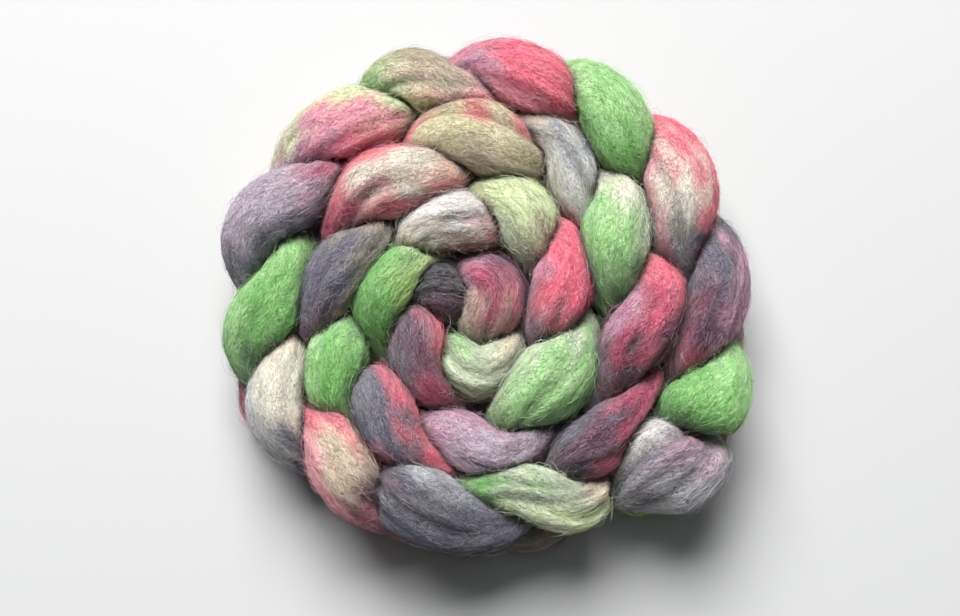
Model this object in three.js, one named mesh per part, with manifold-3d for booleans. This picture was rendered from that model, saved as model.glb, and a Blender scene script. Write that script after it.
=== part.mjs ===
// A plait of three strands of alpaca roving, wound on its edge into a flat round coil.
// The strands are pressed together along their whole length, so the coil is one soft solid.
// Millimetres, +Z up. The origin is at the middle of the underside.

import * as THREE from 'three';
import { mergeVertices } from 'three/addons/utils/BufferGeometryUtils.js';
import Module from 'manifold-3d';

// Driving dimensions, mm
const STRANDS = 3;
const MIDDLE_HEIGHT = 29; // of the plait's middle line above the ground
const SWING = 16; // rise and fall of a strand about the middle line
const STRAND_WIDTH = 27; // of a loose strand below the upper face
const LOBE_FULLNESS = 1.08; // free width of a lobe against the width left between its neighbours
const PRESSED = 1.2; // depth of the flats where the lowest lobes rest on the ground
const FUSED = 3; // how far strands that press hard on each other sink into each other
const END_TAPER = 15; // length of a strand's rounded end
const EDGE_SHARPNESS = 7; // how tightly a strand turns from its free face into a crease
const OWN_REACH = 45; // length of a strand that doesn't press on itself
const CORE_HALF_HEIGHT = 12; // of the closely pressed inside of the coil

// Fineness of the faces
const SIDES = 10;
const STEP = 9.5;
const PRESS_STEP = 3;
const SECTIONS_A_PIECE = 6;

// The lobes of the upper face, one a row, from the middle of the coil outward, mm.
// x and y: middle of the lobe; cross: half its travel from the outer face to the inner face;
// wide: its width; lift: how far it stands above the even height.
// The first and last rows are the hidden ends of the plait, under its neighbours.
const LOBES = [
  { x: -18.1, y: -16.0, cross: 1, wide: 26, lift: -6 },
  { x: -21.6, y: 3.0, cross: 2, wide: 28, lift: -4 },
  { x: 5.4, y: -1.6, cross: 3, wide: 32, lift: -3 },
  { x: -2.4, y: -32.8, cross: 5, wide: 28, lift: -3 },
  { x: -28.4, y: -24.2, cross: 8, wide: 27, lift: -1 },
  { x: -41.3, y: 2.4, cross: 2, wide: 29, lift: 2 },
  { x: -13.9, y: 31.7, cross: 4, wide: 27, lift: 1 },
  { x: 17.0, y: 34.8, cross: 3, wide: 29, lift: 0 },
  { x: 34.0, y: 3.2, cross: 5, wide: 28, lift: 1 },
  { x: 26.0, y: -38.3, cross: 5, wide: 32, lift: 1 },
  { x: 2.0, y: -67.5, cross: 5, wide: 26, lift: -2 },
  { x: -41.1, y: -54.7, cross: 9, wide: 30, lift: 2 },
  { x: -61.8, y: -32.0, cross: 4, wide: 29, lift: -2 },
  { x: -60.4, y: 8.1, cross: 6, wide: 30, lift: 1 },
  { x: -39.3, y: 47.9, cross: 6, wide: 33, lift: 2 },
  { x: 0.6, y: 67.1, cross: 7, wide: 32, lift: 2 },
  { x: 37.3, y: 61.5, cross: 5, wide: 25, lift: -2 },
  { x: 57.1, y: 25.4, cross: 7, wide: 31, lift: 2 },
  { x: 68.2, y: -14.8, cross: 7, wide: 29, lift: 2 },
  { x: 49.0, y: -63.2, cross: 5, wide: 28, lift: -1 },
  { x: 24.9, y: -84.7, cross: 8, wide: 23, lift: 2 },
  { x: -25.5, y: -87.2, cross: 4, wide: 31, lift: 2 },
  { x: -56.8, y: -69.5, cross: 3, wide: 31, lift: 1 },
  { x: -85.9, y: -41.5, cross: 6, wide: 24, lift: -1 },
  { x: -89.4, y: -5.0, cross: 6, wide: 29, lift: -1 },
  { x: -85.4, y: 38.5, cross: 8, wide: 28, lift: 2 },
  { x: -55.6, y: 75.1, cross: 3, wide: 31, lift: -2 },
  { x: -22.7, y: 91.6, cross: 8, wide: 26, lift: 0 },
  { x: 20.9, y: 93.2, cross: 3, wide: 29, lift: 1 },
  { x: 56.1, y: 76.3, cross: 5, wide: 31, lift: 2 },
  { x: 83.5, y: 42.7, cross: 5, wide: 32, lift: 1 },
  { x: 94.5, y: -7.7, cross: 6, wide: 28, lift: -2 },
  { x: 89.6, y: -50.3, cross: 4, wide: 35, lift: -1 },
  { x: 77.0, y: -69.0, cross: 2, wide: 46, lift: -6 },
  { x: 56.5, y: -86.0, cross: 2, wide: 28, lift: -10 },
];

// Where each strand runs along the plait, in lobes from the middle: its first lobe, and its ends.
const RUNS = [
  { lobe: 1, from: 0.35, to: 33.2 },
  { lobe: 2, from: 0.2, to: 34.0 },
  { lobe: 3, from: 0.7, to: 33.9 },
];

// The stretch of the plait's outermost turn that bounds the closely pressed inside.
const CORE_RUN = { from: 20, to: 33, step: 0.5 };

// A column of the table at any place along the plait: a smooth curve through the rows.
function column(name, place) {
  const last = LOBES.length - 1;
  const at = Math.min(Math.max(place, 0), last - 1e-6);
  const row = Math.floor(at);
  const t = at - row;
  const value = (i) => LOBES[Math.min(Math.max(i, 0), last)][name];
  const [a, b, c, d] = [value(row - 1), value(row), value(row + 1), value(row + 2)];
  const slopeB = (c - a) / 2;
  const slopeC = (d - b) / 2;
  const t2 = t * t;
  const t3 = t2 * t;
  return (2 * t3 - 3 * t2 + 1) * b + (t3 - 2 * t2 + t) * slopeB
    + (3 * t2 - 2 * t3) * c + (t3 - t2) * slopeC;
}

// The unit direction across the plait, toward the outer face.
function outward(place) {
  const dx = column('x', place + 0.4) - column('x', place - 0.4);
  const dy = column('y', place + 0.4) - column('y', place - 0.4);
  const length = Math.hypot(dx, dy);
  return [-dy / length, dx / length];
}

// The middle and radius of a strand at a place along the plait.
function strandAt(run, place) {
  const phase = (2 * Math.PI * (place - run.lobe)) / STRANDS;
  const upper = (1 + Math.cos(phase)) / 2;
  const across = -column('cross', place) * Math.sin(2 * phase);
  const [nx, ny] = outward(place);
  const middle = new THREE.Vector3(
    column('x', place) + nx * across,
    column('y', place) + ny * across,
    MIDDLE_HEIGHT + SWING * Math.cos(phase) + column('lift', place) * upper,
  );
  const lobeWidth = column('wide', place) * LOBE_FULLNESS;
  return { middle, radius: THREE.MathUtils.lerp(STRAND_WIDTH, lobeWidth, upper * upper) / 2 };
}

// Evenly spaced stations along a strand, each with its middle, radius, direction, length so far,
// and the turn that keeps its section from twisting about the strand as the strand swings.
function stations(run, step) {
  const fine = [];
  let travelled = 0;
  for (let place = run.from; place <= run.to; place += 0.01) {
    const station = strandAt(run, place);
    if (fine.length) travelled += station.middle.distanceTo(fine[fine.length - 1].middle);
    fine.push({ ...station, travelled });
  }
  const count = Math.round(travelled / step);
  const list = [];
  let turn = 0;
  let lastHeading = null;
  for (let index = 0; index < fine.length; index += 1) {
    const before = fine[Math.max(index - 3, 0)].middle;
    const after = fine[Math.min(index + 3, fine.length - 1)].middle;
    const direction = after.clone().sub(before).normalize();
    const heading = Math.atan2(direction.y, direction.x);
    const change = lastHeading === null ? 0 : heading - lastHeading;
    turn -= direction.z * Math.atan2(Math.sin(change), Math.cos(change));
    lastHeading = heading;
    if (fine[index].travelled >= (travelled * list.length) / count - 1e-6) {
      const fromEnd = Math.max(Math.min(fine[index].travelled, travelled - fine[index].travelled), 0);
      const taper = Math.min(fromEnd / END_TAPER, 1);
      const radius = fine[index].radius * Math.sqrt(1 - (1 - taper) ** 2);
      list.push({ ...fine[index], radius, direction, turn });
    }
  }
  return list;
}

// How far a strand reaches from its middle along a ray before the nearest neighbour stops it.
// Two strands meet where they would press equally: on the plane of equal power of their circles.
function reach(station, ray, strand, crowd) {
  let nearest = Infinity;
  for (const other of crowd) {
    const own = other.strand === strand
      && Math.abs(other.travelled - station.travelled) < OWN_REACH;
    const gap = other.middle.clone().sub(station.middle);
    const facing = gap.dot(ray);
    if (!own && facing > 0) {
      const square = gap.lengthSq() + station.radius ** 2 - other.radius ** 2;
      nearest = Math.min(nearest, Math.max(square, 0) / (2 * facing));
    }
  }
  const power = EDGE_SHARPNESS;
  const soft = (station.radius ** -power + nearest ** -power) ** (-1 / power);
  const pressure = THREE.MathUtils.clamp(1 - nearest / station.radius, 0, 0.3) / 0.3;
  return soft + FUSED * pressure;
}

// The ring of points round a strand at one station.
function section(station, strand, crowd) {
  if (station.radius < 0.5) return null;
  const side = new THREE.Vector3(0, 0, 1).cross(station.direction).normalize();
  const up = station.direction.clone().cross(side);
  const near = crowd.filter((other) => other.middle.distanceTo(station.middle) < 2.6 * STRAND_WIDTH);
  return Array.from({ length: SIDES }, (_, i) => {
    const angle = (2 * Math.PI * i) / SIDES + station.turn;
    const ray = side.clone().multiplyScalar(Math.cos(angle)).addScaledVector(up, Math.sin(angle));
    return station.middle.clone().addScaledVector(ray, reach(station, ray, strand, near));
  });
}

// A closed skin over a row of rings, each end closed to the middle of its ring.
function skin(rings, startPoint, endPoint) {
  const points = [...rings.flat(), startPoint, endPoint];
  const start = points.length - 2;
  const end = points.length - 1;
  const faces = [];
  for (let i = 0; i < SIDES; i += 1) {
    const next = (i + 1) % SIDES;
    for (let ring = 0; ring < rings.length - 1; ring += 1) {
      const low = ring * SIDES;
      const high = low + SIDES;
      faces.push([low + i, low + next, high + next], [low + i, high + next, high + i]);
    }
    const last = (rings.length - 1) * SIDES;
    faces.push([start, next, i], [end, last + i, last + next]);
  }
  const geometry = new THREE.BufferGeometry().setFromPoints(points);
  geometry.setIndex(faces.flat());
  return geometry;
}

function toSolid(wasm, geometry) {
  const plain = geometry.clone();
  plain.deleteAttribute('normal');
  plain.deleteAttribute('uv');
  const merged = mergeVertices(plain, 1e-5);
  return new wasm.Manifold(new wasm.Mesh({
    numProp: 3,
    vertProperties: new Float32Array(merged.attributes.position.array),
    triVerts: new Uint32Array(merged.index.array),
  }));
}

// A strand as short solids laid end to end.
function strandPieces(wasm, list, strand, crowd) {
  const rings = list.map((station) => section(station, strand, crowd));
  const pieces = [];
  const first = rings.findIndex((ring) => ring);
  const last = rings.length - 1 - [...rings].reverse().findIndex((ring) => ring);
  for (let from = first; from < last; from += SECTIONS_A_PIECE) {
    const to = Math.min(from + SECTIONS_A_PIECE, last);
    const startPoint = from === first ? list[0].middle : list[from].middle;
    const endPoint = to === last ? list[list.length - 1].middle : list[to].middle;
    pieces.push(toSolid(wasm, skin(rings.slice(from, to + 1), startPoint, endPoint)));
  }
  return pieces;
}

// The plait's hidden inside, where the pressed strands leave no room between them.
function coreSolid(wasm) {
  const outline = new THREE.Shape();
  for (let place = CORE_RUN.from; place <= CORE_RUN.to; place += CORE_RUN.step) {
    const x = column('x', place);
    const y = column('y', place);
    if (place === CORE_RUN.from) outline.moveTo(x, y);
    else outline.lineTo(x, y);
  }
  const core = new THREE.ExtrudeGeometry(outline, { depth: 2 * CORE_HALF_HEIGHT, bevelEnabled: false });
  core.translate(0, 0, MIDDLE_HEIGHT - CORE_HALF_HEIGHT);
  return toSolid(wasm, core);
}

// The ground, as a slab that presses the lowest lobes flat.
function groundSolid(wasm) {
  const slab = new THREE.BoxGeometry(400, 400, 50);
  slab.translate(0, 0, PRESSED - 25);
  return toSolid(wasm, slab);
}

// The solid without the closed hollows inside it, which the real wool fills.
function withoutHollows(solid) {
  const shells = solid.decompose();
  return shells.reduce((best, shell) => (shell.volume() > best.volume() ? shell : best));
}

function toGeometry(solid) {
  const mesh = solid.getMesh();
  const geometry = new THREE.BufferGeometry();
  geometry.setAttribute('position', new THREE.BufferAttribute(mesh.vertProperties, mesh.numProp));
  geometry.setIndex(new THREE.BufferAttribute(mesh.triVerts, 1));
  geometry.computeBoundingBox();
  const { min, max } = geometry.boundingBox;
  geometry.translate(-(min.x + max.x) / 2, -(min.y + max.y) / 2, -min.z);
  geometry.computeVertexNormals();
  return geometry;
}

const wasm = await Module();
wasm.setup();

const crowd = RUNS.flatMap((run, strand) => (
  stations(run, PRESS_STEP).map((station) => ({ ...station, strand }))
));
const pieces = RUNS.flatMap((run, strand) => (
  strandPieces(wasm, stations(run, STEP), strand, crowd)
));
const joined = wasm.Manifold.union([...pieces, coreSolid(wasm)]);
const coil = withoutHollows(joined.subtract(groundSolid(wasm)));

const wool = new THREE.MeshStandardMaterial({ color: 0x9fb48c, roughness: 0.95, metalness: 0 });
const mesh = new THREE.Mesh(toGeometry(coil), wool);
mesh.name = 'coil';

const model = new THREE.Group();
model.add(mesh);

export default model;
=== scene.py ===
"""A plait of dyed alpaca roving, coiled on its edge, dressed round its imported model.

Sizes in the tables are in millimetres, and the meshes are in metres.
"""

import math

import bpy
import numpy as np
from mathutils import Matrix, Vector


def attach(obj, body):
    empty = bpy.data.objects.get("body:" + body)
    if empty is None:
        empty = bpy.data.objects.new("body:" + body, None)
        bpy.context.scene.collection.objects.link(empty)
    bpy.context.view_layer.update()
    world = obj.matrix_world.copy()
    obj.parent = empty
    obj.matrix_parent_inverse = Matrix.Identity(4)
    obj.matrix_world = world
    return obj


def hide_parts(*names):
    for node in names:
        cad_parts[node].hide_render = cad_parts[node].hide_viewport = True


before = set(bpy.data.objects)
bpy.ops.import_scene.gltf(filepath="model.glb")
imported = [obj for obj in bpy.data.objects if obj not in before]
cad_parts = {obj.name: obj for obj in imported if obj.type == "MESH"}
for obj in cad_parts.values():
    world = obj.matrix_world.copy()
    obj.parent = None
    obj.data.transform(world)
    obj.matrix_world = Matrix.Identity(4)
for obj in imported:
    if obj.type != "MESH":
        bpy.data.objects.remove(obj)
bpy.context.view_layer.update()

bl_info = {
    "name": "Roving Braid",
    "version": (1, 0, 0),
    "blender": (4, 5, 0),
    "location": "3D View > Sidebar > Roving",
    "description": "Winds a dyed plait of roving into a flat coil and lights it",
    "category": "Object",
}

MM = 0.001

# The plait, in millimetres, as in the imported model
STRANDS = 3
MIDDLE_HEIGHT = 29.0  # of the plait's middle line above the floor
SWING = 16.0  # how far a strand rises and dips from it
STRAND_WIDTH = 27.0  # of a strand where it runs under the others
LOBE_FULLNESS = 1.08  # how much wider a lobe is than its row says
PRESSED = 1.2  # what the floor presses off the underside
END_TAPER = 15.0  # over which a strand rounds off at each end
EDGE_SHARPNESS = 7.0  # how tightly a strand turns from its free face into a crease
OWN_REACH = 45.0  # how far along itself a strand is no neighbour of its own
COIL_MIDDLE = (1.310, 2.660)  # where the middle of the coil's box is in the table of lobes

# The lobes of the upper face, from the middle of the coil outward: where the middle of each is,
# half its travel across the plait, its width, and how far it stands above the even height
LOBE_COLUMNS = ("x", "y", "cross", "wide", "lift")
LOBES = (
    (-18.1, -16.0, 1, 26, -6),
    (-21.6, 3.0, 2, 28, -4),
    (5.4, -1.6, 3, 32, -3),
    (-2.4, -32.8, 5, 28, -3),
    (-28.4, -24.2, 8, 27, -1),
    (-41.3, 2.4, 2, 29, 2),
    (-13.9, 31.7, 4, 27, 1),
    (17.0, 34.8, 3, 29, 0),
    (34.0, 3.2, 5, 28, 1),
    (26.0, -38.3, 5, 32, 1),
    (2.0, -67.5, 5, 26, -2),
    (-41.1, -54.7, 9, 30, 2),
    (-61.8, -32.0, 4, 29, -2),
    (-60.4, 8.1, 6, 30, 1),
    (-39.3, 47.9, 6, 33, 2),
    (0.6, 67.1, 7, 32, 2),
    (37.3, 61.5, 5, 25, -2),
    (57.1, 25.4, 7, 31, 2),
    (68.2, -14.8, 7, 29, 2),
    (49.0, -63.2, 5, 28, -1),
    (24.9, -84.7, 8, 23, 2),
    (-25.5, -87.2, 4, 31, 2),
    (-56.8, -69.5, 3, 31, 1),
    (-85.9, -41.5, 6, 24, -1),
    (-89.4, -5.0, 6, 29, -1),
    (-85.4, 38.5, 8, 28, 2),
    (-55.6, 75.1, 3, 31, -2),
    (-22.7, 91.6, 8, 26, 0),
    (20.9, 93.2, 3, 29, 1),
    (56.1, 76.3, 5, 31, 2),
    (83.5, 42.7, 5, 32, 1),
    (94.5, -7.7, 6, 28, -2),
    (89.6, -50.3, 4, 35, -1),
    (77.0, -69.0, 2, 46, -6),
    (56.5, -86.0, 2, 28, -10),
)

# Where each strand runs along the plait, in lobes from the middle: first lobe, start and end
RUNS = (
    (1, 0.35, 33.2),
    (2, 0.2, 34.0),
    (3, 0.7, 33.9),
)

# The folds that show on the upper face
SLANT_LENGTH = 20.0  # along the strand, for which the slants below are given
FOLD_LENGTH = 22.0  # from the lobe's middle to where a fold fades out

# The lobe of each, how far across it toward its outer edge (in half widths), how much further
# across it is a slant length further on, the depth, and the width across (in half widths)
FOLDS = (
    (2, -0.25, 0.2, 1.8, 0.16),
    (6, -0.20, 0.3, 1.8, 0.15),
    (9, 0.10, 0.2, 1.8, 0.15),
    (14, -0.10, 0.2, 1.3, 0.16),
    (15, 0.38, -0.2, 2.0, 0.15),
    (16, -0.15, 0.3, 1.8, 0.14),
    (20, 0.20, 0.2, 2.4, 0.16),
    (20, -0.25, 0.1, 2.0, 0.14),
    (21, 0.35, -0.2, 2.4, 0.15),
    (21, -0.10, -0.3, 2.0, 0.14),
    (27, -0.05, 0.3, 2.2, 0.16),
    (30, -0.30, 0.2, 1.8, 0.14),
    (33, -0.28, 0.1, 4.2, 0.16),
    (33, 0.15, 0.1, 2.6, 0.12),
    (33, 0.48, 0.1, 3.0, 0.13),
)

# The dye baths, as sRGB colours
DYES = {
    "cream": (0.93, 0.91, 0.84),
    "pearl": (0.92, 0.91, 0.90),
    "silver": (0.76, 0.77, 0.79),
    "slate": (0.37, 0.365, 0.45),
    "ink": (0.17, 0.16, 0.22),
    "lilac": (0.74, 0.68, 0.75),
    "mauve": (0.77, 0.56, 0.67),
    "pink": (0.94, 0.60, 0.67),
    "coral": (0.94, 0.38, 0.49),
    "rose": (0.71, 0.19, 0.37),
    "plum": (0.37, 0.17, 0.30),
    "taupe": (0.68, 0.62, 0.53),
    "beige": (0.87, 0.80, 0.70),
    "butter": (0.87, 0.84, 0.68),
    "pale_lime": (0.85, 0.91, 0.70),
    "lime": (0.73, 0.89, 0.45),
    "leaf": (0.62, 0.84, 0.53),
    "green": (0.45, 0.74, 0.35),
    "moss": (0.29, 0.50, 0.27),
    "celadon": (0.80, 0.86, 0.74),
    "peach": (0.95, 0.76, 0.69),
}

# The dyes of each lobe: at its start, middle and end along the plait, down its outer and inner
# edges, and on the part of the same strand that comes round under the plait after it
DYE_COLUMNS = ("start", "middle", "end", "outer", "inner", "under")
LOBE_DYES = (
    ("ink", "ink", "slate", "ink", "ink", "green"),
    ("ink", "ink", "plum", "ink", "plum", "leaf"),
    ("mauve", "rose", "taupe", "plum", "cream", "moss"),
    ("beige", "celadon", "leaf", "taupe", "celadon", "slate"),
    ("rose", "plum", "slate", "slate", "coral", "taupe"),
    ("green", "green", "pale_lime", "green", "lime", "cream"),
    ("beige", "pearl", "pink", "pearl", "taupe", "plum"),
    ("pale_lime", "pale_lime", "taupe", "pale_lime", "celadon", "green"),
    ("coral", "coral", "ink", "rose", "mauve", "slate"),
    ("celadon", "leaf", "leaf", "leaf", "celadon", "rose"),
    ("plum", "lilac", "mauve", "plum", "mauve", "green"),
    ("coral", "slate", "slate", "ink", "coral", "cream"),
    ("green", "green", "leaf", "leaf", "green", "slate"),
    ("plum", "slate", "taupe", "slate", "taupe", "pink"),
    ("rose", "cream", "peach", "coral", "coral", "green"),
    ("butter", "butter", "beige", "coral", "taupe", "mauve"),
    ("beige", "silver", "pearl", "slate", "cream", "moss"),
    ("cream", "leaf", "moss", "celadon", "leaf", "plum"),
    ("coral", "rose", "ink", "plum", "mauve", "cream"),
    ("rose", "plum", "ink", "rose", "slate", "taupe"),
    ("beige", "celadon", "green", "pale_lime", "celadon", "rose"),
    ("slate", "slate", "plum", "slate", "silver", "plum"),
    ("plum", "beige", "coral", "pink", "coral", "plum"),
    ("slate", "cream", "beige", "silver", "cream", "rose"),
    ("moss", "green", "leaf", "leaf", "green", "peach"),
    ("slate", "lilac", "rose", "lilac", "slate", "mauve"),
    ("mauve", "pink", "pale_lime", "pale_lime", "coral", "slate"),
    ("leaf", "beige", "pink", "taupe", "lime", "plum"),
    ("mauve", "coral", "coral", "coral", "pink", "taupe"),
    ("leaf", "leaf", "green", "leaf", "green", "green"),
    ("coral", "cream", "slate", "coral", "pink", "beige"),
    ("slate", "plum", "rose", "mauve", "slate", "taupe"),
    ("leaf", "green", "green", "leaf", "green", "lime"),
    ("mauve", "lilac", "silver", "silver", "pearl", "taupe"),
    ("silver", "slate", "taupe", "slate", "slate", "taupe"),
)

# How finely the strands are worked out
FINE_PLACE = 0.01  # lobes between the points that the stations are picked from
HEADING_SPAN = 0.4  # lobes to each side over which the plait's heading is taken
CROWD_STEP = 3.0  # millimetres between the stations that stand for the neighbours
FAR_OFF = 200.0  # millimetres to the end of a ray that meets no neighbour
BLOCK = 40  # stations that are compared with the crowd at a time
SMOOTHINGS = 3  # times that the creases are blurred
LEAST_RADIUS = 0.01  # millimetres that a strand keeps at its very ends
LAST_ROW = 1.001  # rows off the number of rows, so that a place has a row after it
TINY = 1e-6
NO_LENGTH = 1e-9

# The soft noises of the wool: how long and how wide they are in millimetres, and their seed
NOISES = {
    "furrow": (60.0, 7.0, 11),
    "swell": (40.0, 24.0, 12),
    "seam": (80.0, 17.0, 13),
    "folded": (45.0, 30.0, 14),
    "blotch": (18.0, 12.0, 21),
    "streak": (22.0, 4.5, 22),
    "patch": (17.0, 13.0, 23),
    "wash": (20.0, 10.0, 24),
}
WAVES = 24  # cosines in each noise
WAVE_RATES = (0.6, 1.6)  # how many waves go into a noise's size, least and most
NOISE_REACH = 0.7
LAY_APART = 500.0  # moves the strands' furrows and swells apart
DYE_APART = 300.0  # moves the strands' blotches and streaks apart

# The relief of the wool and the painted shade in its creases and folds, in millimetres unless it
# says otherwise
FURROW_SINK = 0.4  # how far the furrows lie under the strand's face, in their own depths
SWELL = 0.5  # how far the wool swells and shrinks
SEAM_WIDTH = 0.16  # of a sharp fold, as a value of the noise whose nought it follows
SEAM_SHARE = 0.35  # the higher it is, the more of the wool has sharp folds
CALM_RADIUS = 10.0  # radius under which the relief fades out toward a strand's ends
CREASE_GAP = 3.0  # gap to a neighbour under which painted shade darkens the dye
RIM_GAP = 9.0  # gap to a neighbour under which the nap stands higher
DEEP_FOLD = 2.5  # depth at which the painted shade of a listed fold is darkest
CREASE_PAINTED_SHADE = 0.25  # share of the dye's light that the painted shade leaves beside a neighbour
FOLD_PAINTED_SHADE = 0.5  # share of the dye's light that painted shade takes away in a deep listed fold

# How the dyes blend, in lobes along the plait
KEY_PLACES = ((-0.5, "start"), (0.0, "middle"), (0.5, "end"), (1.5, "under"))
BLOTCH_SHIFT = 0.14  # how far a blotch moves the place of a dye
STREAK_SHIFT = 0.045  # how far a streak moves it
UPPER_FULL = 1.45  # share of the edge dyes at a lobe's middle, before it is cut to one
UPPER_FADE = 1.7  # how much of them goes with each lobe away from it
UPPER_RAGGED = 0.5

# How far off the lobe's middle an edge dye starts, and over what it comes in, in half widths
EDGE_START = 0.25
EDGE_SPAN = 0.55
EDGE_RAGGED = 0.24
EDGE_STREAKED = 0.07
EDGE_STRENGTH = 0.9

# The paler wash: its greatest share, and how much of the wool it is on
WASH_STRENGTH = 0.06
WASH_SHARE = 0.1

# Where the loose fibres start and how they head: the angles are usual ones, in radians
UPRIGHT = (1.2, 0.8, 0.25)  # slope and level of their share by the skin's tilt, and its least
LOWEST_START = 1.0  # millimetres over the floor
START_ANGLE = 0.48  # from the strand's own direction
BEND_ANGLE = 0.38  # steady change at each step
WALK_ANGLE = 0.30  # random change at each step
BOWED_SHARE = 0.5  # of the fibres that dip in at both ends

# The colours of the loose fibres
MINGLE = 2.0  # millimetres up or down the strand from which a fibre's dye comes
PALE_MOST = 0.6  # share of white in the palest
PALE_RARITY = 5  # the higher it is, the fewer are pale
PALE_LIGHT = 0.8
FIBRE_LIGHT = (0.65, 1.5)  # how dark and how bright their dyes are made
LIGHT_LIMITS = (0.01, 0.92)

# The nap: its heights over the skin from one end of a fibre to the other, bowed or with a loose
# end, in shares of its own height, and what is added to each in millimetres
NAP_SEED = 100
NAP_BENDS = 3
NAP_BOWED = (-0.5, 1.0, 1.0, -0.5)
NAP_LOOSE = (-0.5, 0.5, 1.0, 1.6)
NAP_CLEAR = (-0.15, 0.12, 0.12, 0.0)
NAP_SPREAD = 0.35  # of the lengths, as a logarithm
NAP_TALLEST = 2.2
NAP_UNEVEN = (0.6, 1.4)
NAP_WIDTHS = (0.6, 1.25)
RIM_RISE = 1.6  # how much higher it stands beside a neighbour

# The strays: their heights in the same way, and their lengths in millimetres
STRAY_SEED = 7
STRAY_BENDS = 5
STRAY_BOWED = (-0.3, 0.5, 0.9, 1.0, 0.6, -0.3)
STRAY_LOOSE = (-0.3, 0.1, 0.35, 0.6, 0.85, 1.0)
STRAY_LENGTHS = (10.0, 26.0)
STRAY_RARITY = 2.2  # the higher it is, the fewer stand far off
STRAY_LOWEST = 0.3
STRAY_WIDTHS = (0.45, 0.8)

# The sections of all loose fibres
SIDEWAYS = (0.3, 0.5, 0.81)  # a direction that their first side is square to
FLOOR_CLEAR = 0.05  # millimetres over the floor of their lowest points

# The lines of hairs on the wool, in layers: how far they turn round the strand in radians a
# millimetre, and how fine their noise is along and across them
LINE_LAYERS = ((0.0, 0.22, 1.5), (0.035, 0.26, 1.3), (-0.04, 0.24, 1.4), (0.085, 0.34, 1.0))
LINE_WIDTH = 0.10  # to each side, as a value of the noise
LINE_DETAIL = (1.5, 0.5)  # detail and roughness of the noise
LAST_LAYER = 0.8  # strength of the last layer
LINE_LEAST = 0.35  # strength that the lines keep where the grain is darkest

# How the hairs wander: the scale of the push and its reach in millimetres
BROAD_WANDER = (0.18, 6.0)
FINE_WANDER = (0.55, 1.6)
WANDER_DETAIL = 2.0

# The grain under the hairs: scale along and across the strand, detail and roughness
DEPTH_GRAIN = ((0.30, 2.2, 2.2), 3.0, 0.65)
LOCK_GRAIN = ((0.12, 0.45, 0.45), 3.0, 0.6)
TUFT_GRAIN = ((0.22, 0.30, 0.30), 3.0, 0.6)

# What hairs, locks, tufts and depth give to the light of the dye, and to the bump
TONE_SHARES = (0.75, 0.30, 0.40, 0.50)
TONE_SINK = 0.08  # taken off the light all over
BUMP_SHARES = (1.0, 0.6, 1.2)
BUMP_STRENGTH = 0.8
BUMP_DEPTH = 0.5 * MM
PALE_HAIRS = 0.20  # share of the hairs' own colour at full strength
HAIR_COLOUR = (0.75, 0.74, 0.70, 1.0)
FINISH = {"Roughness": 0.9, "Specular IOR Level": 0.15, "Sheen Roughness": 0.45}

# The places of the colour sockets on a Mix node
MIX_A, MIX_B, MIX_RESULT = 6, 7, 2

# The lights: name, place in metres, side in metres, power in watts and colour
LIGHTS = (
    ("window", (-0.40, 1.70, 2.35), 1.9, 158.0, (1.0, 0.99, 0.97)),
    ("ceiling", (0.1, 0.2, 2.2), 1.2, 3.0, (0.96, 0.98, 1.0)),
)
LIGHT_AIM = (0, 0, 0.03)
ROOM_COLOUR = (0.93, 0.96, 1.0, 1.0)
ROOM_STRENGTH = 0.045

# The floor, in metres
FLOOR_HALF = 3.0
FLOOR_DROP = 2e-4
FLOOR_ROUGHNESS = 0.7

# The coil's place in the picture: its middle, in pixels right of and above the frame's middle
PICTURE_WIDTH = 960
METRES_A_PIXEL = 0.42 * MM
COIL_IN_PICTURE = (6.2, 21.8)
AIM_HEIGHT = 0.050  # metres over the floor, where a pixel has that size
SENSOR_WIDTH = 36.0
CLIP_START = 0.01


class RovingSettings(bpy.types.PropertyGroup):
    """Sizes of the wool and of the view that a user would change."""

    station: bpy.props.FloatProperty(
        name="Station", description="Distance between sections along a strand",
        default=2.5 * MM, min=0.5 * MM, unit="LENGTH")
    sides: bpy.props.IntProperty(
        name="Sides", description="Points round a strand's section", default=50, min=12)
    furrow: bpy.props.FloatProperty(
        name="Furrow", description="Depth of the soft furrows along a strand",
        default=0.8 * MM, min=0.0, unit="LENGTH")
    fold: bpy.props.FloatProperty(
        name="Fold", description="Depth of the few sharp folds along a strand",
        default=1.4 * MM, min=0.0, unit="LENGTH")
    nap_count: bpy.props.IntProperty(
        name="Nap fibres", description="Short loose fibres on each strand",
        default=16000, min=0)
    nap_length: bpy.props.FloatProperty(
        name="Nap length", description="Usual length of a loose fibre that shows",
        default=6.5 * MM, min=1.0 * MM, unit="LENGTH")
    nap_height: bpy.props.FloatProperty(
        name="Nap height", description="How far the loose fibres usually bow off the wool",
        default=0.42 * MM, min=0.0, unit="LENGTH")
    fibre_width: bpy.props.FloatProperty(
        name="Fibre width", description="Thickness of a lock of loose fibres",
        default=0.12 * MM, min=0.02 * MM, unit="LENGTH")
    stray_count: bpy.props.IntProperty(
        name="Strays", description="Long stray fibres on each strand", default=1800, min=0)
    stray_height: bpy.props.FloatProperty(
        name="Stray height", description="How far the longest strays stand off the wool",
        default=3.5 * MM, min=0.0, unit="LENGTH")
    sheen: bpy.props.FloatProperty(
        name="Sheen", description="Soft light that the fine hairs catch",
        default=0.25, min=0.0, max=1.0, subtype="FACTOR")
    floor_colour: bpy.props.FloatVectorProperty(
        name="Floor", description="Colour of the floor", default=(0.60, 0.61, 0.62),
        size=3, min=0.0, max=1.0, subtype="COLOR")
    camera_height: bpy.props.FloatProperty(
        name="Camera height", description="Angle of the camera above the floor",
        default=math.radians(80.0), subtype="ANGLE")
    camera_distance: bpy.props.FloatProperty(
        name="Camera distance", description="Distance of the camera from the coil",
        default=0.65, min=0.3, unit="LENGTH")


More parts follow.
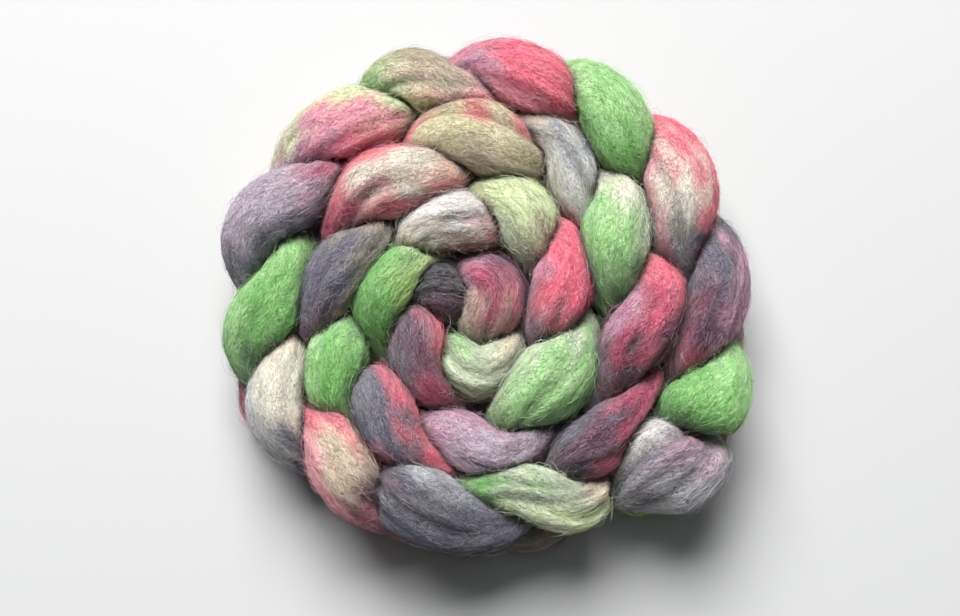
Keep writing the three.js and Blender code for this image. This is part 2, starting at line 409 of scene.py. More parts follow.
def table_column(rows, columns, name):
    """One named column of a table, as an array."""
    index = columns.index(name)
    return np.array([row[index] for row in rows], dtype=float)


def along_rows(values, place):
    """A smooth curve through the rows: a cubic between each two, whose slope at a row is half
    the difference of that row's two neighbours."""
    last = len(values) - 1
    at = np.clip(place, 0, last - TINY)
    row = np.floor(at).astype(int)
    t = at - row
    a, b, c, d = (values[np.clip(row + k, 0, last)] for k in (-1, 0, 1, 2))
    slope_b = (c - a) / 2
    slope_c = (d - b) / 2
    return ((2 * t**3 - 3 * t**2 + 1) * b + (t**3 - 2 * t**2 + t) * slope_b
            + (3 * t**2 - 2 * t**3) * c + (t**3 - t**2) * slope_c)


def lobe_value(name, place):
    """A column of the lobe table at any places along the plait."""
    return along_rows(table_column(LOBES, LOBE_COLUMNS, name), place)


def outward(place):
    """The unit direction across the plait at a place, toward its outer face: square to the line
    between the places a little before and after it."""
    dx = lobe_value("x", place + HEADING_SPAN) - lobe_value("x", place - HEADING_SPAN)
    dy = lobe_value("y", place + HEADING_SPAN) - lobe_value("y", place - HEADING_SPAN)
    length = np.hypot(dx, dy)
    return np.stack([-dy / length, dx / length, np.zeros_like(dx)], axis=-1)


def strand_line(lobe, place):
    """The middle line and radius of a strand: it rises and falls by the cosine of its phase,
    one turn to each three lobes, and crosses the plait by the sine of twice that phase."""
    phase = 2 * np.pi * (place - lobe) / STRANDS
    upper = (1 + np.cos(phase)) / 2
    across = -lobe_value("cross", place) * np.sin(2 * phase)
    height = MIDDLE_HEIGHT + SWING * np.cos(phase) + lobe_value("lift", place) * upper
    middle = np.stack([lobe_value("x", place), lobe_value("y", place), height], axis=-1)
    middle += outward(place) * across[:, None]
    lobe_width = lobe_value("wide", place) * LOBE_FULLNESS
    radius = (STRAND_WIDTH + (lobe_width - STRAND_WIDTH) * upper**2) / 2
    return middle, radius


def stations(run, step):
    """Evenly spaced stations along a strand: place, middle, radius, direction, length so far,
    and the turn that keeps the section from twisting, which is minus the running sum of the
    change of heading times the slope. The radius ends in a quarter circle at both ends."""
    lobe, start, end = run
    place = np.arange(start, end, FINE_PLACE)
    middle, radius = strand_line(lobe, place)
    lengths = np.linalg.norm(np.diff(middle, axis=0), axis=1)
    travelled = np.concatenate([[0], np.cumsum(lengths)])
    direction = np.gradient(middle, travelled, axis=0)
    direction /= np.linalg.norm(direction, axis=1)[:, None]
    heading = np.unwrap(np.arctan2(direction[:, 1], direction[:, 0]))
    turn = -np.cumsum(direction[:, 2] * np.diff(heading, prepend=heading[0]))
    wanted = np.linspace(0, travelled[-1], int(round(travelled[-1] / step)) + 1)
    at = np.interp(wanted, travelled, np.arange(len(place)))

    def pick(values):
        """The values at the wanted stations, on straight lines between the fine points."""
        low = np.minimum(at.astype(int), len(place) - 2)
        part = (at - low).reshape((-1,) + (1,) * (values.ndim - 1))
        return values[low] * (1 - part) + values[low + 1] * part

    from_end = np.minimum(wanted, travelled[-1] - wanted)
    taper = np.clip(from_end / END_TAPER, 0, 1)
    direction = pick(direction)
    return {
        "place": pick(place),
        "middle": pick(middle),
        "radius": pick(radius) * np.sqrt(1 - (1 - taper) ** 2),
        "direction": direction / np.linalg.norm(direction, axis=1)[:, None],
        "travelled": wanted,
        "turn": pick(turn),
    }


def crowd_of(step):
    """The stations of all strands in one list, each with the number of its strand."""
    parts = [stations(run, step) for run in RUNS]
    crowd = {key: np.concatenate([part[key] for part in parts])
             for key in ("middle", "radius", "travelled")}
    counts = [len(part["radius"]) for part in parts]
    crowd["strand"] = np.repeat(np.arange(len(RUNS)), counts)
    return crowd


def section_rays(line, sides):
    """Unit rays round each station, square to the strand and turned back by its twist."""
    side = np.cross((0.0, 0.0, 1.0), line["direction"])
    side /= np.linalg.norm(side, axis=1)[:, None]
    up = np.cross(line["direction"], side)
    angle = 2 * np.pi * np.arange(sides) / sides + line["turn"][:, None]
    return side[:, None] * np.cos(angle)[..., None] + up[:, None] * np.sin(angle)[..., None]


def nearest_neighbour(line, rays, strand, crowd):
    """How far along each ray a neighbour stops the strand: the nearest of the planes of equal
    power between this station's circle and those of the crowd."""
    nearest = np.full(rays.shape[:2], FAR_OFF)
    for start in range(0, len(rays), BLOCK):
        part = slice(start, start + BLOCK)
        gap = crowd["middle"][None] - line["middle"][part, None]
        along = np.abs(crowd["travelled"][None] - line["travelled"][part, None])
        own = (crowd["strand"] == strand)[None] & (along < OWN_REACH)
        power = (gap**2).sum(-1) + line["radius"][part, None] ** 2 - crowd["radius"][None] ** 2
        facing = np.einsum("nak,nmk->nam", rays[part], gap)
        blocked = (facing > TINY) & ~own[:, None]
        plane = np.maximum(power, 0)[:, None] / (2 * np.maximum(facing, TINY))
        nearest[part] = np.where(blocked, plane, FAR_OFF).min(axis=2)
    return nearest


def smoothed(values, times):
    """Values blurred over the grid, wrapping round the strand and stopping at its ends."""
    for _ in range(times):
        values = (np.roll(values, 1, 1) + 2 * values + np.roll(values, -1, 1)) / 4
        longer = np.concatenate([values[:1], values, values[-1:]])
        values = (longer[:-2] + 2 * values + longer[2:]) / 4
    return values


def soft_noise(points, size, seed):
    """Smooth noise, mostly between -1 and 1: a sum of cosines along random directions, whose
    lengths lie round the given size. Size may differ for each axis."""
    rng = np.random.default_rng(seed)
    directions = rng.normal(size=(WAVES, points.shape[-1]))
    directions /= np.linalg.norm(directions, axis=1)[:, None]
    rates = 2 * np.pi * directions * rng.uniform(*WAVE_RATES, (WAVES, 1)) / np.asarray(size)
    phases = rng.uniform(0, 2 * np.pi, WAVES)
    return np.cos(points @ rates.T + phases).sum(-1) * math.sqrt(2.0 / WAVES) * NOISE_REACH


def wool_noise(lay, name):
    """One of the listed noises, over the lay of the wool."""
    length, width, seed = NOISES[name]
    return soft_noise(lay, (length, width, width), seed)


def lay_points(line, sides):
    """Each grid point on the strand as if it were pulled straight: length, and two places round
    a cylinder of the loose strand's width."""
    angle = 2 * np.pi * np.arange(sides) / sides
    length = np.broadcast_to(line["travelled"][:, None], (len(line["travelled"]), sides))
    side = np.broadcast_to(np.cos(angle) * STRAND_WIDTH / 2, length.shape)
    up = np.broadcast_to(np.sin(angle) * STRAND_WIDTH / 2, length.shape)
    return np.stack([length, side, up], axis=-1)


def wound_strand(number, step, sides, furrow, fold):
    """The skin of one strand as a grid of points, with what its colours and fibres need. Each
    point lies on its ray at the soft minimum of the strand's own radius and the nearest
    neighbour, less soft furrows, sharp folds that run along the strand, and the listed folds.
    A sharp fold is a narrow bell-shaped groove along the line where a noise that is stretched
    along the strand is nought."""
    line = stations(RUNS[number], step)
    rays = section_rays(line, sides)
    nearest = nearest_neighbour(line, rays, number, crowd_of(CROWD_STEP))
    own = np.maximum(line["radius"], LEAST_RADIUS)[:, None]
    reach = (own**-EDGE_SHARPNESS + nearest**-EDGE_SHARPNESS) ** (-1 / EDGE_SHARPNESS)
    reach = smoothed(reach, SMOOTHINGS)
    lay = lay_points(line, sides)
    own_lay = lay + number * LAY_APART
    furrows = furrow * (wool_noise(own_lay, "furrow") - FURROW_SINK)
    swells = SWELL * wool_noise(own_lay, "swell")
    share = np.clip(wool_noise(own_lay, "folded") + SEAM_SHARE, 0, 1)
    sharp = np.exp(-((wool_noise(own_lay, "seam") / SEAM_WIDTH) ** 2)) * share
    calm = np.clip(own / CALM_RADIUS, 0, 1)
    across = (rays * outward(line["place"])[:, None]).sum(-1)
    listed = folds_at(line, RUNS[number][0] % STRANDS, across, rays[..., 2])
    reach = reach + calm * (furrows + swells - fold * sharp - listed)
    points = line["middle"][:, None] + rays * reach[..., None]
    points[..., 2] = np.maximum(points[..., 2], PRESSED) - PRESSED
    points[..., :2] -= COIL_MIDDLE
    # The gaps to the neighbours set where painted crease shade darkens the dye, where fibres lie
    # and how high the nap stands; the listed folds set where painted fold shade darkens it
    gap = nearest - reach
    return {"points": points, "lay": lay, "place": line["place"], "across": across,
            "free": np.clip(gap / CREASE_GAP, 0, 1), "rim": np.clip(1 - gap / RIM_GAP, 0, 1),
            "folded": np.clip(listed / DEEP_FOLD, 0, 1)}


def folds_at(line, strand, across, upward):
    """Depth of the listed folds of one strand. Each is a groove, bell-shaped across, that fades
    along the strand by a bell of the length's fourth power, and down the sides of the lobe as
    its rays turn from upright to level."""
    depth = np.zeros_like(across)
    for lobe, middle, slant, deep, wide in FOLDS:
        if lobe % STRANDS == strand:
            crown = np.interp(lobe, line["place"], line["travelled"])
            gone = (line["travelled"] - crown)[:, None]
            aside = (across - middle - slant * gone / SLANT_LENGTH) / wide
            bell = np.exp(-aside**2 - (gone / FOLD_LENGTH) ** 4)
            depth += deep * bell * np.clip(2 * upward, 0, 1)
    return depth


def grid_normals(points):
    """Outward unit normals of a closed tube grid, from the differences along and round it."""
    along = np.gradient(points, axis=0)
    around = np.roll(points, -1, axis=1) - np.roll(points, 1, axis=1)
    return unit(np.cross(around, along))


def unit(vectors):
    """Vectors over their own lengths."""
    return vectors / np.maximum(np.linalg.norm(vectors, axis=-1), NO_LENGTH)[..., None]


def linear(colour):
    """An sRGB colour as linear light, by the two parts of the standard curve."""
    colour = np.asarray(colour, float)
    return np.where(colour <= 0.04045, colour / 12.92, ((colour + 0.055) / 1.055) ** 2.4)


def eased(share):
    """A share from 0 to 1 that starts and stops softly: three squares less two cubes."""
    return share * share * (3 - 2 * share)


def blended(first, second, share):
    """Two colours mixed by a share of the second."""
    return first * (1 - share)[..., None] + second * share[..., None]


def dye_keys(rows):
    """The places along the plait where a strand has a dye of its own, and those dyes."""
    spots, colours = [], []
    for row in rows:
        dyes = dict(zip(DYE_COLUMNS, LOBE_DYES[row]))
        for offset, name in KEY_PLACES:
            spots.append(row + offset)
            colours.append(linear(DYES[dyes[name]]))
    return np.array(spots), np.array(colours)


def dye_at(place, across, lay, lobe):
    """The dye at each point of a strand. Keys lie along the strand at each lobe's start, middle
    and end and under the plait, and blend into each other with a blotchy, ragged edge. The
    outer and inner dyes lie over them toward those edges of the upper face, and a paler wash
    comes and goes."""
    own_lay = lay + lobe * DYE_APART
    streak = wool_noise(own_lay, "streak")
    patch = wool_noise(own_lay, "patch")
    at = place + BLOTCH_SHIFT * wool_noise(own_lay, "blotch") + STREAK_SHIFT * streak
    rows = np.arange(lobe, len(LOBE_DYES), STRANDS)
    spots, colours = dye_keys(rows)
    index = np.clip(np.searchsorted(spots, at) - 1, 0, len(spots) - 2)
    part = np.clip((at - spots[index]) / (spots[index + 1] - spots[index]), 0, 1)
    colour = blended(colours[index], colours[index + 1], eased(part))
    row = np.round((place - lobe) / STRANDS) * STRANDS + lobe
    row = np.clip(row, lobe, rows[-1]).astype(int)
    for name, facing in (("outer", 1.0), ("inner", -1.0)):
        edge = np.array([linear(DYES[dyes[DYE_COLUMNS.index(name)]]) for dyes in LOBE_DYES])
        upper = np.clip(UPPER_FULL - UPPER_FADE * np.abs(place - row)
                        + UPPER_RAGGED * facing * patch, 0, 1)
        weight = np.clip((across * facing - EDGE_START + EDGE_RAGGED * patch
                          + EDGE_STREAKED * streak) / EDGE_SPAN, 0, 1)
        colour = blended(colour, edge[row], eased(weight) * upper * EDGE_STRENGTH)
    wash = WASH_STRENGTH * np.clip(wool_noise(own_lay, "wash") + WASH_SHARE, 0, 1)
    return blended(colour, linear(DYES["cream"]), wash)


def new_piece(name, points, faces, dye, lay, material):
    """A mesh object from arrays, with the dye and the lay of the wool as point attributes."""
    mesh = bpy.data.meshes.new(name)
    mesh.from_pydata((points * MM).tolist(), [], faces)
    mesh.polygons.foreach_set("use_smooth", np.ones(len(mesh.polygons), dtype=bool))
    colour = mesh.attributes.new("dye", "FLOAT_COLOR", "POINT")
    full = np.concatenate([dye, np.ones((len(dye), 1))], axis=1)
    colour.data.foreach_set("color", full.astype(np.float32).ravel())
    if lay is not None:
        vector = mesh.attributes.new("lay", "FLOAT_VECTOR", "POINT")
        vector.data.foreach_set("vector", lay.astype(np.float32).ravel())
    mesh.materials.append(material)
    mesh.update()
    piece = bpy.data.objects.new(name, mesh)
    bpy.context.scene.collection.objects.link(piece)
    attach(piece, "root")
    return piece


def tube_faces(rings, sides):
    """Quads round a tube of rings, and fans that close its two ends on two last points."""
    ring = np.arange(rings - 1)[:, None] * sides
    here = np.arange(sides)[None]
    there = (here + 1) % sides
    quads = np.stack([ring + here, ring + there, ring + sides + there, ring + sides + here], -1)
    start = rings * sides
    last = (rings - 1) * sides
    first_fan = [(start, int(b), int(a)) for a, b in zip(here[0], there[0])]
    last_fan = [(start + 1, int(last + a), int(last + b)) for a, b in zip(here[0], there[0])]
    return quads.reshape(-1, 4).tolist() + first_fan + last_fan


def strand_piece(number, skin, material):
    """One strand's closed skin, whose dye is darkened by painted shade in its folds and beside
    its neighbours.
    """
    rings, sides = skin["points"].shape[:2]
    dye = dye_at(skin["place"][:, None] + np.zeros((rings, sides)), skin["across"],
                 skin["lay"], RUNS[number][0])
    # Painted shade: the dye is darkened in the creases beside a neighbour and in the deep listed
    # folds
    beside = CREASE_PAINTED_SHADE + (1 - CREASE_PAINTED_SHADE) * skin["free"]
    dye = dye * (beside * (1 - FOLD_PAINTED_SHADE * skin["folded"]))[..., None]
    tips = skin["points"][[0, -1]].mean(axis=1)
    points = np.concatenate([skin["points"].reshape(-1, 3), tips])
    lay = np.concatenate([skin["lay"].reshape(-1, 3), skin["lay"][[0, -1]].mean(axis=1)])
    colour = np.concatenate([dye.reshape(-1, 3), dye[[0, -1]].mean(axis=1)])
    piece = new_piece(f"strand_{number + 1}", points, tube_faces(rings, sides), colour, lay,
                      material)
    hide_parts("coil")
    # The stored dye keeps the painted crease and fold shade, and the loose fibres take their
    # colours from it
    skin["dye"] = dye
    return piece


def sample_grid(values, row, col):
    """Values between grid points: straight-line blends along the strand and round it."""
    rings, sides = values.shape[:2]
    row = np.clip(row, 0, rings - LAST_ROW)
    low = np.floor(row).astype(int)
    left = np.floor(col).astype(int)
    u = (row - low)[..., None]
    v = (col - left)[..., None]
    left, right = left % sides, (left + 1) % sides
    near = values[low, left] * (1 - v) + values[low, right] * v
    far = values[low + 1, left] * (1 - v) + values[low + 1, right] * v
    return near * (1 - u) + far * u


def fibre_paths(skin, count, bends, step, length, rng):
    """Paths of loose fibres in the strand's own grid, as rows and columns. A fibre starts at a
    random place on the open skin, mostly on the upper and outer sides, heads along the strand
    give or take some 27 degrees, and curls as it goes: its heading is a start angle plus a
    steady bend and a random walk, and its path is the running sum of equal steps."""
    points = skin["points"]
    rings, sides = points.shape[:2]
    long_way = np.linalg.norm(np.gradient(points, axis=0), axis=-1)
    round_way = np.linalg.norm(np.roll(points, -1, 1) - points, axis=-1)
    slope, level, least = UPRIGHT
    upright = np.clip(skin["normals"][..., 2] * slope + level, least, 1)
    open_skin = points[..., 2] > LOWEST_START
    weight = (long_way * round_way * skin["free"] * upright * open_skin).ravel()
    chosen = rng.choice(rings * sides, count, p=weight / weight.sum())
    start = rng.normal(0.0, START_ANGLE, (count, 1))
    bend = rng.normal(0.0, BEND_ANGLE, (count, 1)) * (np.arange(bends) - bends / 2)
    walk = rng.normal(0.0, WALK_ANGLE, (count, bends)).cumsum(axis=1)
    heading = start + bend + walk
    stride = (length / bends)[:, None]
    along = centred_path(np.cos(heading), stride)
    round_it = centred_path(np.sin(heading), stride)
    rows = (chosen // sides + rng.uniform(-0.5, 0.5, count))[:, None] + along / step
    cols = (chosen % sides + rng.uniform(-0.5, 0.5, count))[:, None] + round_it / (
        np.pi * STRAND_WIDTH / sides)
    return rows, cols


def centred_path(steps, stride):
    """The running sum of steps, from nought, less half of where it ends."""
    path = np.cumsum(steps, axis=1) * stride
    return np.concatenate([np.zeros((len(path), 1)), path], axis=1) - path[:, -1:] / 2


def fibre_colours(skin, rows, cols, step, rng):
    """The dye of each fibre, one all along it, taken a few millimetres up or down the strand
    from where it lies, so that neighbouring dyes mingle, and made a little paler or darker."""
    count = len(rows)
    middle = rows.shape[1] // 2
    row = rows[:, middle] + rng.normal(0.0, MINGLE, count) / step
    # The strand's dye sampled here carries its painted crease and fold shade
    dye = sample_grid(skin["dye"], row, cols[:, middle])
    pale = PALE_MOST * rng.random((count, 1)) ** PALE_RARITY
    dye = dye * (1 - pale) + PALE_LIGHT * pale
    return np.clip(dye * rng.uniform(*FIBRE_LIGHT, (count, 1)), *LIGHT_LIMITS)


def bowed_or_loose(bowed, loose, count, rng):
    """Heights along each fibre, from one of two rows of them by chance."""
    return np.where(rng.random((count, 1)) < BOWED_SHARE, bowed, loose)


def nap_piece(number, skin, settings, material):
    """The short loose fibres of one strand: half of them dip into the skin at both ends, and
    the others have a loose end."""
    rng = np.random.default_rng(NAP_SEED + number)
    count = settings.nap_count
    step = settings.station / MM
    length = settings.nap_length / MM * np.exp(rng.normal(0.0, NAP_SPREAD, count))
    rows, cols = fibre_paths(skin, count, NAP_BENDS, step, length, rng)
    height = np.minimum(rng.exponential(settings.nap_height / MM, count), NAP_TALLEST)
    rise = bowed_or_loose(NAP_BOWED, NAP_LOOSE, count, rng)
    rim = sample_grid(skin["rim"][..., None], rows[:, 1], cols[:, 1])
    rise = rise * rng.uniform(*NAP_UNEVEN, rise.shape) * height[:, None] * (1 + RIM_RISE * rim)
    rise += NAP_CLEAR
    dye = fibre_colours(skin, rows, cols, step, rng)
    width = settings.fibre_width / MM * rng.uniform(*NAP_WIDTHS, count)
    return spindles(f"nap_{number + 1}", [(skin, rows, cols, rise, dye, width)], rng, material)


def stray_piece(skins, settings, material):
    """The long stray fibres of all strands: half of them stand off the skin at their middle,
    and the others at one end."""
    rng = np.random.default_rng(STRAY_SEED)
    count = settings.stray_count
    step = settings.station / MM
    groups = []
    for skin in skins:
        length = rng.uniform(*STRAY_LENGTHS, count)
        rows, cols = fibre_paths(skin, count, STRAY_BENDS, step, length, rng)
        height = rng.random((count, 1)) ** STRAY_RARITY
        height = settings.stray_height / MM * height + STRAY_LOWEST
        rise = bowed_or_loose(STRAY_BOWED, STRAY_LOOSE, count, rng) * height
        dye = fibre_colours(skin, rows, cols, step, rng)
        width = settings.fibre_width / MM * rng.uniform(*STRAY_WIDTHS, count)
        groups.append((skin, rows, cols, rise, dye, width))
    return spindles("strays", groups, rng, material)


def spindles(name, groups, rng, material):
    """Closed three-sided spindles along fibre paths: a point at each end and a ring of three at
    each bend, whose radius swells toward the middle as a half sine."""
    points, colours = [], []
    for skin, rows, cols, rise, dye, width in groups:
        count, knots = rows.shape
        spine = (sample_grid(skin["points"], rows, cols)
                 + sample_grid(skin["normals"], rows, cols) * rise[..., None])
        direction = unit(spine[:, 2:] - spine[:, :-2])
        side = unit(np.cross(direction, SIDEWAYS))
        up = np.cross(direction, side)
        angle = rng.uniform(0, 2 * np.pi, (count, 1, 1)) + 2 * np.pi * np.arange(3) / 3
        swell = np.sin(np.pi * np.arange(1, knots - 1) / (knots - 1))
        radius = width[:, None] / 2 * swell / swell.max()
        ring = (side[:, :, None] * np.cos(angle)[..., None]
                + up[:, :, None] * np.sin(angle)[..., None])
        rings = spine[:, 1:-1, None] + ring * radius[..., None, None]
        rings = rings.reshape(count, 3 * (knots - 2), 3)
        points.append(np.concatenate([spine[:, :1], rings, spine[:, -1:]], axis=1))
        colours.append(np.repeat(dye[:, None], points[-1].shape[1], axis=1))
    points = np.concatenate(points)
    colours = np.concatenate(colours)
    size = points.shape[1]
    pattern = spindle_faces((size - 2) // 3)
    faces = (pattern[None] + size * np.arange(len(points))[:, None, None]).reshape(-1, 3)
    points = points.reshape(-1, 3)
    points[:, 2] = np.maximum(points[:, 2], FLOOR_CLEAR)
    return new_piece(name, points, faces.tolist(), colours.reshape(-1, 3), None, material)


def spindle_faces(rings):
    """Triangles of one spindle: a fan, bands between rings, and a fan."""
    last = 1 + 3 * rings
    faces = []
    for i in range(3):
        j = (i + 1) % 3
        faces.append((0, 1 + j, 1 + i))
        for ring in range(rings - 1):
            low, high = 1 + 3 * ring, 4 + 3 * ring
            faces += [(low + i, low + j, high + j), (low + i, high + j, high + i)]
        faces.append((last, last - 3 + i, last - 3 + j))
    return np.array(faces)


class NodeDesk:
    """Short calls for laying out a material's nodes."""

    def __init__(self, name):
        self.material = bpy.data.materials.new(name)
        self.material.use_nodes = True
        self.nodes = self.material.node_tree.nodes
        self.links = self.material.node_tree.links
        self.shader = self.nodes["Principled BSDF"]

    def node(self, kind, inputs=None, **settings):
        """A new node, with its settings, and its inputs set to values or linked to outputs."""
        made = self.nodes.new(kind)
        for key, value in settings.items():
            setattr(made, key, value)
        for key, value in (inputs or {}).items():
            if isinstance(value, bpy.types.NodeSocket):
                self.links.new(value, made.inputs[key])
            else:
                made.inputs[key].default_value = value
        return made

    def stretched_noise(self, vector, scale, detail, roughness):
        """Noise on a vector that is scaled unevenly first, so that it lies in streaks."""
        mapping = self.node("ShaderNodeMapping", {"Vector": vector, "Scale": scale})
        noise = self.node("ShaderNodeTexNoise", {
            "Vector": mapping.outputs["Vector"], "Scale": 1.0, "Detail": detail,
            "Roughness": roughness})
        return noise.outputs["Fac"]

    def math(self, operation, a, b=0.0):
        """One step of arithmetic on two numbers or sockets."""
        return self.node("ShaderNodeMath", {0: a, 1: b}, operation=operation).outputs[0]

    def vector(self, operation, a, b):
        """One step of arithmetic on two vectors."""
        return self.node("ShaderNodeVectorMath", {0: a, 1: b}, operation=operation).outputs[0]

    def weighted_sum(self, sockets, shares):
        """The sum of the sockets, each times its share."""
        parts = [self.math("MULTIPLY", socket, share) for socket, share in zip(sockets, shares)]
        total = parts[0]
        for part in parts[1:]:
            total = self.math("ADD", total, part)
        return total

    def shifted(self, vector, scale, reach):
        """The vector, pushed about by a soft noise up to about half the reach each way."""
        noise = self.node("ShaderNodeTexNoise", {
            "Vector": vector, "Scale": scale, "Detail": WANDER_DETAIL})
        centred = self.vector("SUBTRACT", noise.outputs["Color"], (0.5, 0.5, 0.5))
        push = self.vector("MULTIPLY", centred, (reach, reach, reach))
        return self.vector("ADD", vector, push)

    def thin_lines(self, vector, scale):
        """Lines, 1 along their middle and 0 beside them, where a stretched noise is a half."""
        noise = self.stretched_noise(vector, scale, *LINE_DETAIL)
        off = self.math("ABSOLUTE", self.math("SUBTRACT", noise, 0.5))
        return self.node("ShaderNodeMapRange", {
            "Value": off, "From Min": 0.0, "From Max": LINE_WIDTH, "To Min": 1.0, "To Max": 0.0},
            interpolation_type="SMOOTHSTEP").outputs["Result"]


def strand_material(settings):
    """Dyed combed wool. Layers of thin wavy lines run along the strand and turn round it to both
    sides, pale on a darker dye, and the strongest layer shows at each point. The dye's light
    and the bump are sums of shares of these hairs and of the softer locks and tufts."""
    desk = NodeDesk("dyed_wool")
    # The dye attribute carries the painted crease and fold shade as well as the dye
    dye = desk.node("ShaderNodeAttribute", attribute_name="dye").outputs["Color"]
    lay = desk.node("ShaderNodeAttribute", attribute_name="lay").outputs["Vector"]
    path = desk.shifted(desk.shifted(lay, *BROAD_WANDER), *FINE_WANDER)
    length = desk.node("ShaderNodeSeparateXYZ", {0: path}).outputs["X"]
    layers = []
    for slant, stretch, fine in LINE_LAYERS:
        angle = desk.math("MULTIPLY", length, slant)
        turned = desk.node("ShaderNodeVectorRotate", {"Vector": path, "Angle": angle},
                           rotation_type="X_AXIS").outputs[0]
        layers.append(desk.thin_lines(turned, (stretch, fine, fine)))
    near = desk.math("MAXIMUM", layers[0], layers[1])
    far = desk.math("MAXIMUM", layers[2], desk.math("MULTIPLY", layers[3], LAST_LAYER))
    hairs = desk.math("MAXIMUM", near, far)
    depth = desk.stretched_noise(path, *DEPTH_GRAIN)
    hairs = desk.math("MULTIPLY", hairs, desk.math("ADD", depth, LINE_LEAST))
    lock = desk.stretched_noise(path, *LOCK_GRAIN)
    tuft = desk.stretched_noise(lay, *TUFT_GRAIN)
    value = desk.weighted_sum((hairs, lock, tuft, depth), TONE_SHARES)
    value = desk.math("SUBTRACT", value, TONE_SINK)
    tone = desk.node("ShaderNodeHueSaturation", {"Color": dye, "Value": value})
    pale = desk.math("MULTIPLY", desk.math("MULTIPLY", hairs, hairs), PALE_HAIRS)
    mix = desk.node("ShaderNodeMix", {"Factor": pale}, data_type="RGBA")
    desk.links.new(tone.outputs["Color"], mix.inputs[MIX_A])
    mix.inputs[MIX_B].default_value = HAIR_COLOUR
    desk.links.new(mix.outputs[MIX_RESULT], desk.shader.inputs["Base Color"])
    height = desk.weighted_sum((hairs, lock, tuft), BUMP_SHARES)
    bump = desk.node("ShaderNodeBump", {
        "Height": height, "Strength": BUMP_STRENGTH, "Distance": BUMP_DEPTH})
    desk.links.new(bump.outputs["Normal"], desk.shader.inputs["Normal"])
    soft_finish(desk.shader, settings)
    return desk.material


def fibre_material(settings):
    """A loose fibre: its own dye, rough, with the same soft sheen."""
    desk = NodeDesk("loose_wool")
    # The fibres' dye attribute carries painted crease and fold shade taken from their strand
    dye = desk.node("ShaderNodeAttribute", attribute_name="dye").outputs["Color"]
    desk.links.new(dye, desk.shader.inputs["Base Color"])
    soft_finish(desk.shader, settings)
    return desk.material


def soft_finish(shader, settings):
    """The dull, softly glowing finish that all the wool has."""
    for name, value in FINISH.items():
        shader.inputs[name].default_value = value
    shader.inputs["Sheen Weight"].default_value = settings.sheen


class ROVING_OT_wind(bpy.types.Operator):
    """Wind the three strands into their pressed, coiled plait"""

    bl_idname = "roving.wind"
    bl_label = "Wind the strands"

    def execute(self, context):
        settings = context.scene.roving
        material = strand_material(settings)
        SKINS.clear()
        for number in range(len(RUNS)):
            skin = wound_strand(number, settings.station / MM, settings.sides,
                                settings.furrow / MM, settings.fold / MM)
            strand_piece(number, skin, material)
            skin["normals"] = grid_normals(skin["points"])
            SKINS.append(skin)
        return {"FINISHED"}


class ROVING_OT_fibres(bpy.types.Operator):
    """Lay the loose nap and the strays over the open skin of each strand"""

    bl_idname = "roving.fibres"
    bl_label = "Lay the loose fibres"

    def execute(self, context):
        settings = context.scene.roving
        if not SKINS:
            raise RuntimeError("the strands are wound before their fibres are laid")
        material = fibre_material(settings)
        for number, skin in enumerate(SKINS):
            nap_piece(number, skin, settings, material)
        stray_piece(SKINS, settings, material)
        return {"FINISHED"}


class ROVING_OT_stage(bpy.types.Operator):
    """Set the floor, the lights and the camera"""

    bl_idname = "roving.stage"
    bl_label = "Set the stage"

    def execute(self, context):
        settings = context.scene.roving
        floor_piece(settings)
        for light in LIGHTS:
            area_light(*light)
        world = bpy.data.worlds.new("room")
        world.use_nodes = True
        background = world.node_tree.nodes["Background"]
        background.inputs["Color"].default_value = ROOM_COLOUR
        background.inputs["Strength"].default_value = ROOM_STRENGTH
        context.scene.world = world
        context.scene.view_settings.view_transform = "Standard"
        photo_camera(settings)
        return {"FINISHED"}


def floor_piece(settings):
    """A wide plain square of floor just under the coil."""
    mesh = bpy.data.meshes.new("floor")
    corners = ((-1, -1), (1, -1), (1, 1), (-1, 1))
    mesh.from_pydata([(x * FLOOR_HALF, y * FLOOR_HALF, -FLOOR_DROP) for x, y in corners],
                     [], [(0, 1, 2, 3)])
    floor = bpy.data.objects.new("floor", mesh)
    bpy.context.scene.collection.objects.link(floor)
    desk = NodeDesk("floor")
    desk.shader.inputs["Base Color"].default_value = (*settings.floor_colour, 1.0)
    desk.shader.inputs["Roughness"].default_value = FLOOR_ROUGHNESS
    mesh.materials.append(desk.material)


def area_light(name, place, size, power, colour):
    """A square soft light that faces the coil."""
    light = bpy.data.lights.new(name, "AREA")
    light.size = size
    light.energy = power
    light.color = colour
    lamp = bpy.data.objects.new(name, light)
    lamp.location = place
    toward = Vector(LIGHT_AIM) - Vector(place)
    lamp.rotation_euler = toward.to_track_quat("-Z", "Y").to_euler()
    bpy.context.scene.collection.objects.link(lamp)


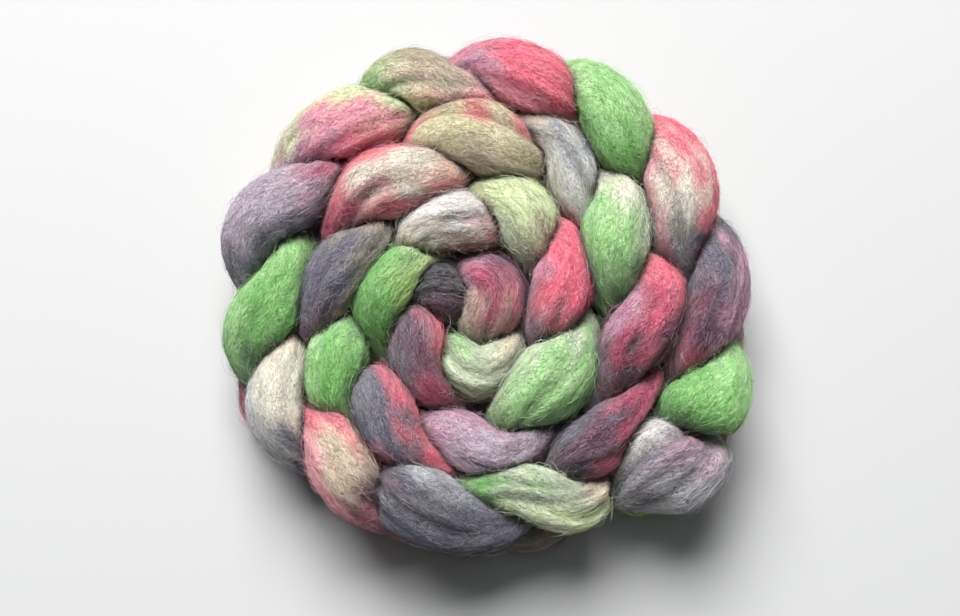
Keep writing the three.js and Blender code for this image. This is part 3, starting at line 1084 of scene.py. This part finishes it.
def photo_camera(settings):
    """A camera above the near edge. Its lens is the sensor's width times the distance over the
    width that the picture spans at the aim, so the coil keeps its size in the picture."""
    data = bpy.data.cameras.new("camera")
    data.sensor_width = SENSOR_WIDTH
    frame_width = PICTURE_WIDTH * METRES_A_PIXEL
    data.lens = data.sensor_width * settings.camera_distance / frame_width
    data.clip_start = CLIP_START
    camera = bpy.data.objects.new("camera", data)
    tilt = settings.camera_height
    away = Vector((0.0, -math.cos(tilt), math.sin(tilt)))
    right = Vector((1.0, 0.0, 0.0))
    up = Vector((0.0, math.sin(tilt), math.cos(tilt)))
    aim = Vector((0.0, 0.0, AIM_HEIGHT))
    aim -= right * COIL_IN_PICTURE[0] * METRES_A_PIXEL
    aim -= up * COIL_IN_PICTURE[1] * METRES_A_PIXEL
    camera.location = aim + away * settings.camera_distance
    camera.rotation_euler = (-away).to_track_quat("-Z", "Y").to_euler()
    bpy.context.scene.collection.objects.link(camera)
    bpy.context.scene.camera = camera


class ROVING_PT_panel(bpy.types.Panel):
    """The roving braid's steps and sizes."""

    bl_label = "Roving Braid"
    bl_idname = "ROVING_PT_panel"
    bl_space_type = "VIEW_3D"
    bl_region_type = "UI"
    bl_category = "Roving"

    def draw(self, context):
        for step in STEPS:
            self.layout.operator(step.bl_idname)
        for name in RovingSettings.__annotations__:
            self.layout.prop(context.scene.roving, name)


SKINS = []
STEPS = (ROVING_OT_wind, ROVING_OT_fibres, ROVING_OT_stage)
CLASSES = (RovingSettings, *STEPS, ROVING_PT_panel)


def register():
    """Add the settings, steps and panel to Blender."""
    for each in CLASSES:
        bpy.utils.register_class(each)
    bpy.types.Scene.roving = bpy.props.PointerProperty(type=RovingSettings)


def unregister():
    """Take them out again."""
    del bpy.types.Scene.roving
    for each in reversed(CLASSES):
        bpy.utils.unregister_class(each)


def main():
    """Make the whole braid on its stage."""
    register()
    bpy.ops.roving.wind()
    bpy.ops.roving.fibres()
    bpy.ops.roving.stage()


if __name__ == "__main__":
    main()
